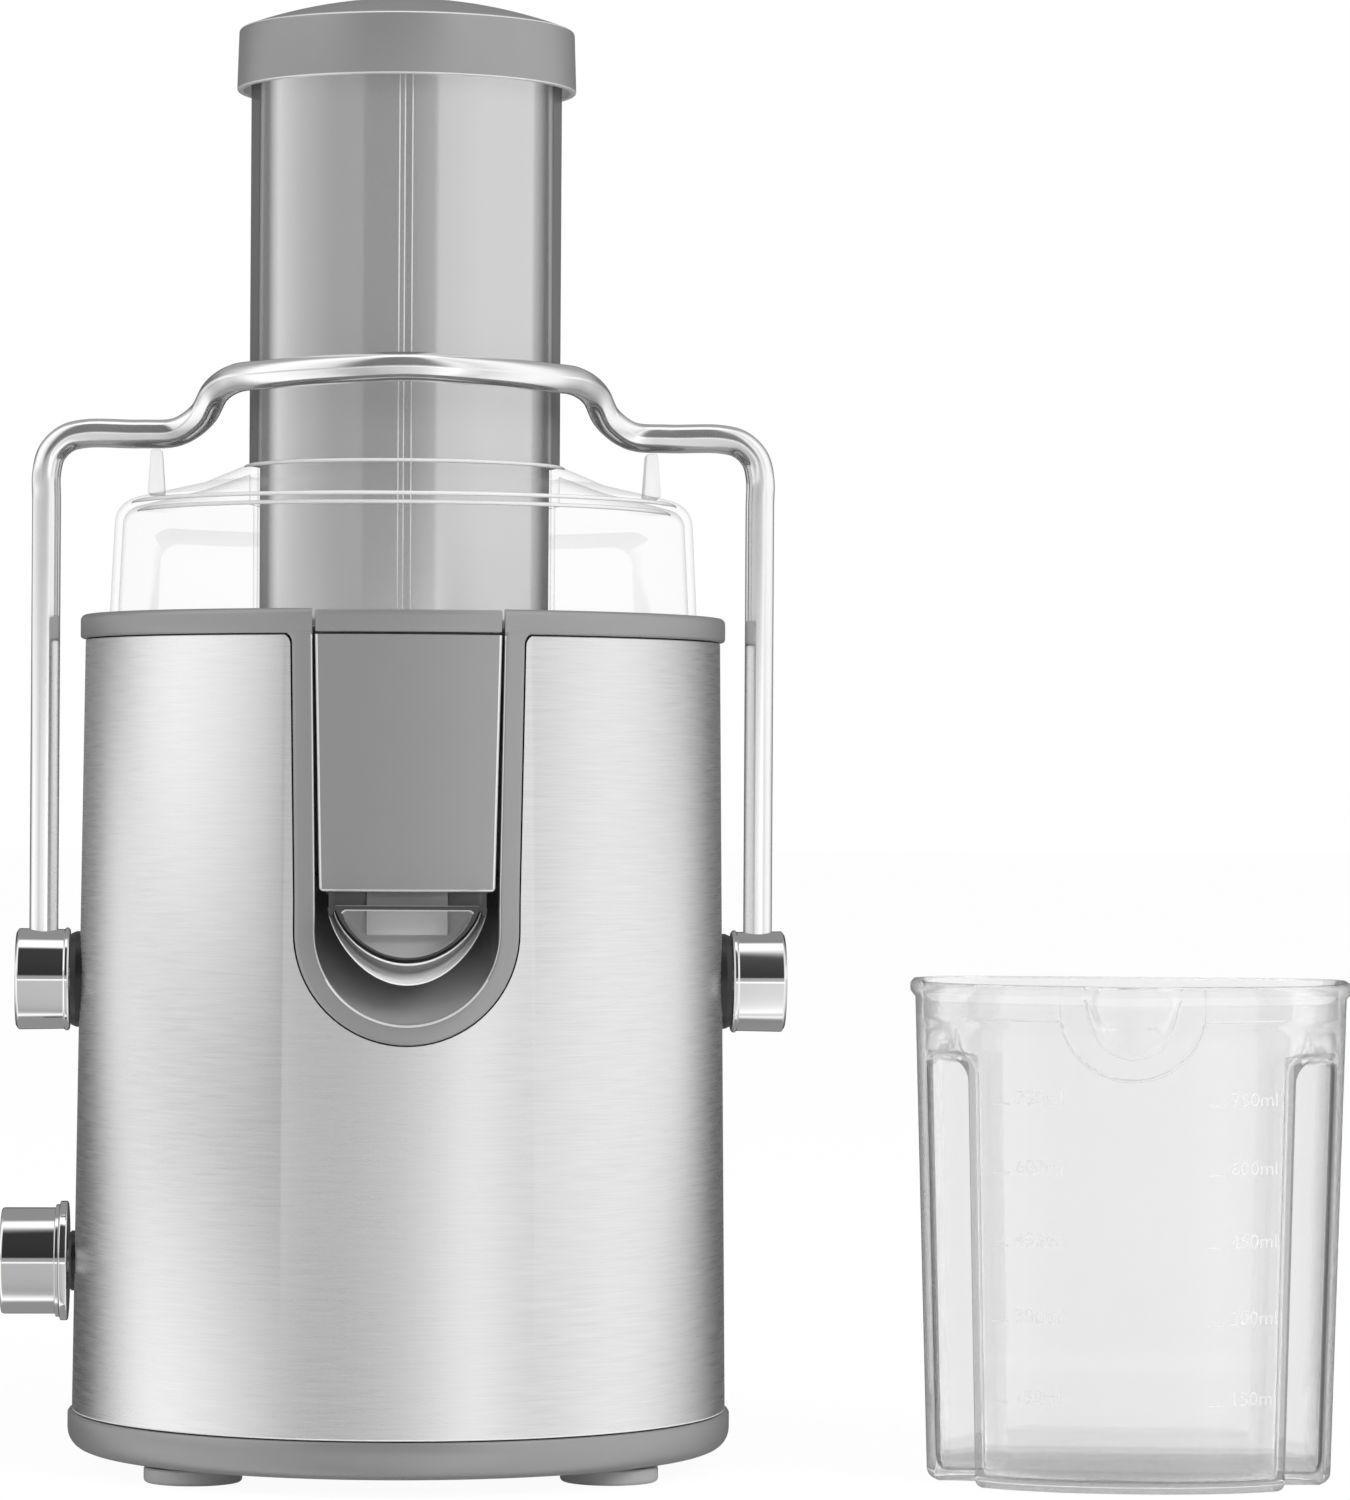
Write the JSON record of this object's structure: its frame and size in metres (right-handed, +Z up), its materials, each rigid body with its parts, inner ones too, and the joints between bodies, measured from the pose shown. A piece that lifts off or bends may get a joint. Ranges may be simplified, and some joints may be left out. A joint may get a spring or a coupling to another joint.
{
  "type": "centrifugal juicer",
  "caption": "Upright centrifugal juicer with a wide feed chute and pusher, wire lid-locking arm, side speed knob, front spout, rear pulp bin, and a clear juice jug standing beside it.",
  "frame": {"origin": "the middle of the footprint of the juicer with its jug beside it, on the surface that they stand on", "axes": "+Z up, the front of the juicer towards -Y, the jug on the +X side; the motor's axis is parallel to Z through x = -0.0693, y = -0.0450"},
  "size_m": [0.344, 0.272, 0.3762],
  "materials": {
    "brushed_steel": "brushed round the body",
    "chrome": "bright chrome plating",
    "grey_plastic": "satin moulded grey",
    "black_plastic": "satin moulded black",
    "clear_lid": "clear polished plastic",
    "clear_jug": "clear polished plastic with a moulded scale",
    "smoke_plastic": "translucent smoke grey, smooth",
    "bin_plastic": "translucent smoke grey, smooth",
    "frosted_plastic": "pale frosted plastic",
    "foot_rubber": "soft grey rubber",
    "black_rubber": "matte black rubber",
    "motor_steel": "turned steel",
    "basket_steel": "perforated stainless sheet",
    "laminations": "stacked steel laminations",
    "copper_winding": "enamelled copper wire"
  },
  "bodies": {
    "body": {"base_plate": "grey_plastic", "foot_front_left": "foot_rubber", "foot_front_right": "foot_rubber", "foot_rear_left": "foot_rubber", "foot_rear_right": "foot_rubber", "base_screw_1": "motor_steel", "base_screw_2": "motor_steel", "base_screw_3": "motor_steel", "base_screw_4": "motor_steel", "motor_housing": "black_plastic", "steel_sleeve": "brushed_steel", "top_bezel": "grey_plastic", "recess_liner": "grey_plastic", "cord_gland": "black_rubber", "bearing_lower": "motor_steel", "bearing_upper": "motor_steel", "motor_bracket_lower": "motor_steel", "motor_bracket_upper": "motor_steel", "stator": "laminations", "field_coil_rear": "copper_winding", "field_coil_front": "copper_winding", "brush_holder_right": "black_plastic", "brush_holder_left": "black_plastic", "motor_mount": "black_rubber", "shaft_seal": "black_rubber", "filter_bowl": "grey_plastic", "spout_cover": "grey_plastic", "spout_nozzle": "grey_plastic", "spout_lip": "frosted_plastic", "lid": "clear_lid", "pivot_spacer_right": "black_plastic", "pivot_spacer_left": "black_plastic", "interlock_switch": "black_plastic", "knob_collar": "black_plastic", "speed_switch": "black_plastic"},
    "rotor": {"motor_shaft": "motor_steel", "armature": "laminations", "commutator": "copper_winding", "cooling_fan": "black_plastic", "drive_coupling": "black_plastic", "basket_hub": "grey_plastic", "grater_disc": "basket_steel", "filter_mesh": "basket_steel", "basket_rim": "grey_plastic"},
    "pusher": {"pusher_tube": "smoke_plastic", "pusher_cap": "grey_plastic"},
    "arm": {"lock_arm": "chrome", "pivot_cap_right": "chrome", "pivot_cap_left": "chrome", "pivot_pin_right": "motor_steel", "pivot_pin_left": "motor_steel", "interlock_cam": "black_plastic"},
    "plunger": {"interlock_plunger": "frosted_plastic"},
    "knob": {"speed_knob": "chrome", "knob_shaft": "motor_steel"},
    "bin": {"pulp_bin": "bin_plastic"},
    "jug": {"juice_jug": "clear_jug"}
  },
  "joints": [
    {"name": "rotor_spin", "type": "hinge", "parent": "body", "child": "rotor", "pos_m": [-0.06932, -0.04496, 0.1], "axis": [0, 0, 1], "continuous": true},
    {"name": "pusher_lift", "type": "slide", "parent": "body", "child": "pusher", "axis": [0, 0, 1], "range_m": [0, 0.17]},
    {"name": "arm_swing", "type": "hinge", "parent": "body", "child": "arm", "pos_m": [-0.06932, -0.04496, 0.1238], "axis": [1, 0, 0], "range_deg": [0, 95]},
    {"name": "interlock_travel", "type": "slide", "parent": "body", "child": "plunger", "axis": [0, 0, 1], "range_m": [0, 0.0015]},
    {"name": "knob_turn", "type": "hinge", "parent": "body", "child": "knob", "pos_m": [-0.16, -0.04496, 0.0515], "axis": [-1, 0, 0], "range_deg": [0, 90]},
    {"name": "bin_slide", "type": "slide", "parent": "body", "child": "bin", "axis": [0, 1, 0], "range_m": [0, 0.12]},
    {"name": "jug_lift", "type": "slide", "parent": "body", "child": "jug", "axis": [0, 0, 1], "range_m": [0, 0.15]}
  ],
  "couplings": [
    {"joint": "interlock_travel", "follows": "arm_swing", "m_per_rad": 0.0009}
  ]
}
